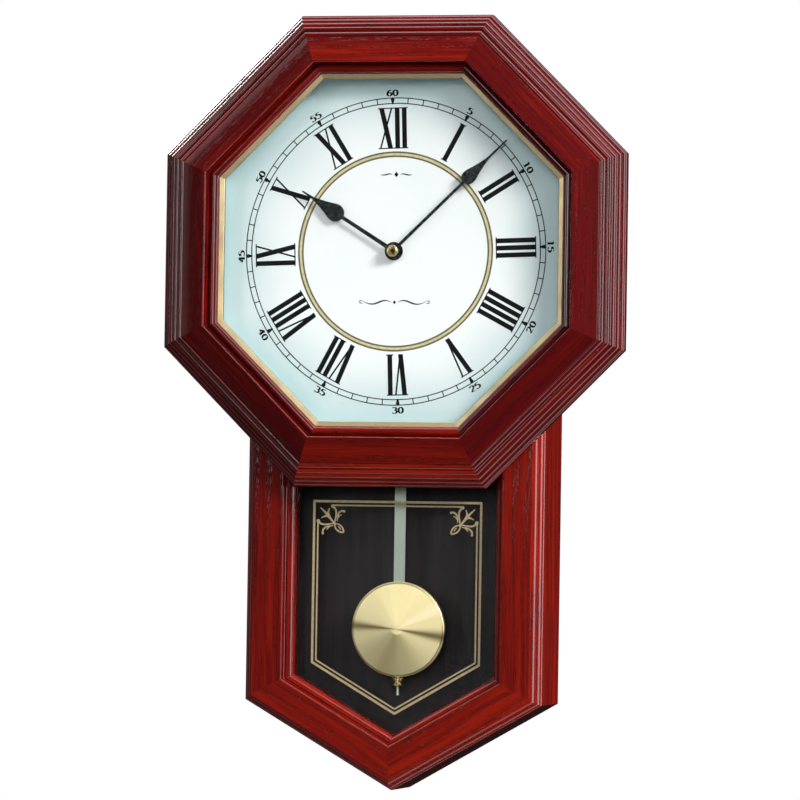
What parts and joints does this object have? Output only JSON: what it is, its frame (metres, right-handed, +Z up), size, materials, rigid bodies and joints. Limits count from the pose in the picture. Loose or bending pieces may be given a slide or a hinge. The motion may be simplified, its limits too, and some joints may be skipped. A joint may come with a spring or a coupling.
{
  "type": "wall clock",
  "caption": "Octagonal wooden wall clock with a pointed pendulum window below, Roman dial, quartz chime movement and rear controls; hangs from a keyhole plate.",
  "frame": {"origin": "centre of the keyhole's round entry on the wall plane, at the top of the case", "axes": "+X to the right seen from the front, +Y into the wall, +Z up"},
  "size_m": [0.352, 0.1053, 0.578],
  "materials": {
    "mahogany_wood": "satin lacquer",
    "plain_wood": "sanded",
    "dark_panel": "satin, dark stain",
    "plated_steel": "zinc plated",
    "gold_trim": "satin",
    "dial_glass": "clear, polished",
    "window_glass": "clear, polished, gold line print",
    "dial_white": "matt white with black print",
    "white_spacer": "matt",
    "black_plastic": "fine moulded texture",
    "cell_jacket": "gloss film",
    "spring_steel": "nickel plated",
    "brass": "polished",
    "arbor_steel": "blued",
    "gear_plastic": "natural acetal",
    "knob_plastic": "satin",
    "copper_coil": "enamelled wire",
    "stator_steel": "bare",
    "board_green": "solder mask",
    "speaker_metal": "zinc plated",
    "speaker_paper": "pressed paper",
    "rod_metal": "satin, pale",
    "bob_brass": "spun satin",
    "black_hands": "black lacquer"
  },
  "bodies": {
    "case": {"bezel_top": "mahogany_wood", "bezel_top_right": "mahogany_wood", "bezel_right": "mahogany_wood", "bezel_bottom_right": "mahogany_wood", "bezel_bottom": "mahogany_wood", "bezel_bottom_left": "mahogany_wood", "bezel_left": "mahogany_wood", "bezel_top_left": "mahogany_wood", "stile_left": "mahogany_wood", "stile_right": "mahogany_wood", "slant_rail_left": "mahogany_wood", "slant_rail_right": "mahogany_wood", "cross_rail": "mahogany_wood", "glass_beads": "mahogany_wood", "upper_case_boards": "mahogany_wood", "lower_corner_boards": "mahogany_wood", "case_side_left": "mahogany_wood", "case_side_right": "mahogany_wood", "case_bottom_boards": "mahogany_wood", "hanging_rail": "plain_wood", "back_board": "dark_panel", "hanger_plate": "plated_steel", "wood_screws": "plated_steel", "dial_clips": "plated_steel", "dial_trim": "gold_trim", "dial_glass": "dial_glass", "window_glass": "window_glass", "dial_plate": "dial_white", "dial_spacer": "white_spacer", "movement_tray": "black_plastic", "movement_cover": "black_plastic", "battery_holder": "black_plastic", "pendulum_drive": "black_plastic", "batteries": "cell_jacket", "battery_contacts": "spring_steel", "centre_bush": "brass", "bush_nut": "brass", "train_bridge": "gear_plastic", "motor_coil": "copper_coil", "motor_stator": "stator_steel", "circuit_board": "board_green", "speaker_frame": "speaker_metal", "speaker_cone": "speaker_paper", "drive_coil": "copper_coil"},
    "minute_train": {"centre_arbor": "arbor_steel", "minute_hand": "black_hands", "hand_nut": "brass"},
    "hour_train": {"hour_wheel": "brass", "hour_hand": "black_hands"},
    "minute_wheel": {"minute_wheel": "gear_plastic"},
    "set_knob": {"set_knob": "knob_plastic"},
    "motor_rotor": {"motor_rotor": "gear_plastic"},
    "pendulum": {"pendulum_hanger": "knob_plastic", "pendulum_rod": "rod_metal"},
    "bob": {"pendulum_bob": "bob_brass"},
    "rating_nut": {"rating_nut": "brass"},
    "volume_knob": {"volume_knob": "knob_plastic"},
    "chime_selector": {"chime_selector": "knob_plastic"},
    "demo_button": {"demo_button": "knob_plastic"},
    "battery_cover": {"battery_cover": "black_plastic"}
  },
  "joints": [
    {"name": "minute_spin", "type": "hinge", "parent": "case", "child": "minute_train", "pos_m": [0, -0.078, -0.128], "axis": [0, 1, 0], "continuous": true},
    {"name": "hour_spin", "type": "hinge", "parent": "case", "child": "hour_train", "pos_m": [0, -0.075, -0.128], "axis": [0, 1, 0], "continuous": true},
    {"name": "minute_wheel_spin", "type": "hinge", "parent": "case", "child": "minute_wheel", "pos_m": [0.012, -0.069, -0.128], "axis": [0, 1, 0], "continuous": true},
    {"name": "set_knob_spin", "type": "hinge", "parent": "case", "child": "set_knob", "pos_m": [0, -0.04, -0.143], "axis": [0, 1, 0], "continuous": true},
    {"name": "rotor_spin", "type": "hinge", "parent": "case", "child": "motor_rotor", "pos_m": [0.02, -0.068, -0.101], "axis": [0, 1, 0], "continuous": true},
    {"name": "pendulum_swing", "type": "hinge", "parent": "case", "child": "pendulum", "pos_m": [0, -0.0424, -0.198], "axis": [0, 1, 0], "range_deg": [-6, 6]},
    {"name": "bob_height", "type": "slide", "parent": "pendulum", "child": "bob", "axis": [0, 0, 1], "range_m": [-0.0015, 0.0015]},
    {"name": "rating_nut_turn", "type": "hinge", "parent": "bob", "child": "rating_nut", "pos_m": [0, -0.045, -0.4494], "axis": [0, 0, 1], "range_deg": [-1100, 1100]},
    {"name": "volume_turn", "type": "hinge", "parent": "case", "child": "volume_knob", "pos_m": [0.038, -0.034, -0.101], "axis": [0, 1, 0], "range_deg": [-135, 135]},
    {"name": "chime_select", "type": "slide", "parent": "case", "child": "chime_selector", "axis": [1, 0, 0], "range_m": [-0.004, 0.004]},
    {"name": "demo_press", "type": "slide", "parent": "case", "child": "demo_button", "axis": [0, -1, 0], "range_m": [0, 0.0015], "stiffness_N_per_m": 300},
    {"name": "battery_cover_slide", "type": "slide", "parent": "case", "child": "battery_cover", "axis": [0, 0, -1], "range_m": [0, 0.012]}
  ],
  "couplings": [
    {"joint": "hour_spin", "follows": "minute_spin", "ratio": 0.083333},
    {"joint": "minute_wheel_spin", "follows": "minute_spin", "ratio": -0.33333},
    {"joint": "set_knob_spin", "follows": "minute_spin", "ratio": -4},
    {"joint": "rating_nut_turn", "follows": "bob_height", "rad_per_m": 12566}
  ]
}
